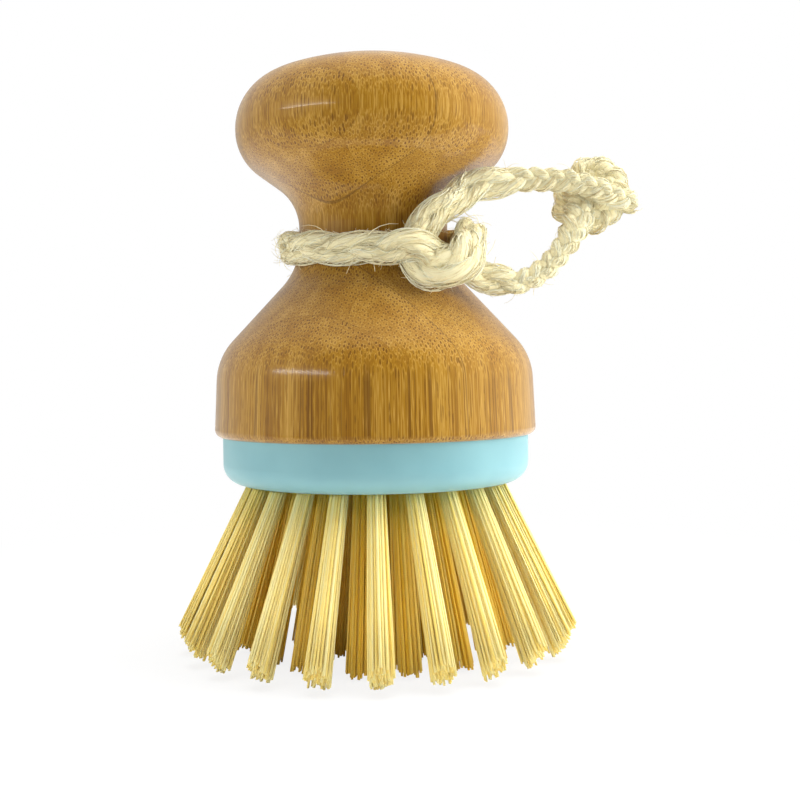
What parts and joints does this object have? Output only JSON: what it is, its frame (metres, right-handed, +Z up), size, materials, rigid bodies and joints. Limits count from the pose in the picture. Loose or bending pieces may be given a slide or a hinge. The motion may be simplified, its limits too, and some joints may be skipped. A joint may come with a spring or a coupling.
{
  "type": "palm brush",
  "caption": "Round hand brush with a turned bamboo knob handle, a blue plastic head of stiff fibre tufts and a knotted natural cord loop round its neck.",
  "frame": {"origin": "on the handle's axis, in the plane that the bristle tips stand on", "axes": "+Z up along the handle's axis; the cord's loop stands out to +X and a little to -Y, the front"},
  "size_m": [0.0742, 0.0641, 0.095],
  "materials": {
    "bamboo": "satin lacquer",
    "blue_plastic": "satin",
    "bristle": "natural plant fibre",
    "wire": "galvanised",
    "cord": "braided natural fibre"
  },
  "bodies": {
    "brush": {"handle": "bamboo", "tuft_plate": "blue_plastic", "outer_tuft_01": "bristle", "outer_tuft_02": "bristle", "outer_tuft_03": "bristle", "outer_tuft_04": "bristle", "outer_tuft_05": "bristle", "outer_tuft_06": "bristle", "outer_tuft_07": "bristle", "outer_tuft_08": "bristle", "outer_tuft_09": "bristle", "outer_tuft_10": "bristle", "outer_tuft_11": "bristle", "outer_tuft_12": "bristle", "outer_tuft_13": "bristle", "outer_tuft_14": "bristle", "outer_tuft_15": "bristle", "outer_tuft_16": "bristle", "outer_tuft_17": "bristle", "outer_tuft_18": "bristle", "outer_tuft_19": "bristle", "outer_tuft_20": "bristle", "outer_tuft_21": "bristle", "outer_tuft_22": "bristle", "second_tuft_01": "bristle", "second_tuft_02": "bristle", "second_tuft_03": "bristle", "second_tuft_04": "bristle", "second_tuft_05": "bristle", "second_tuft_06": "bristle", "second_tuft_07": "bristle", "second_tuft_08": "bristle", "second_tuft_09": "bristle", "second_tuft_10": "bristle", "second_tuft_11": "bristle", "second_tuft_12": "bristle", "second_tuft_13": "bristle", "second_tuft_14": "bristle", "second_tuft_15": "bristle", "second_tuft_16": "bristle", "third_tuft_01": "bristle", "third_tuft_02": "bristle", "third_tuft_03": "bristle", "third_tuft_04": "bristle", "third_tuft_05": "bristle", "third_tuft_06": "bristle", "third_tuft_07": "bristle", "third_tuft_08": "bristle", "third_tuft_09": "bristle", "third_tuft_10": "bristle", "centre_tuft_01": "bristle", "centre_tuft_02": "bristle", "centre_tuft_03": "bristle", "centre_tuft_04": "bristle", "tuft_anchors": "wire"},
    "cord": {"cord_neck_turn": "cord", "cord_neck_knot": "cord", "cord_upper_leg": "cord", "cord_lower_leg": "cord", "cord_end_knot": "cord"}
  },
  "joints": [
    {"name": "cord_swivel", "type": "hinge", "parent": "brush", "child": "cord", "pos_m": [0, 0, 0.064], "axis": [0, 0, 1], "continuous": true}
  ]
}
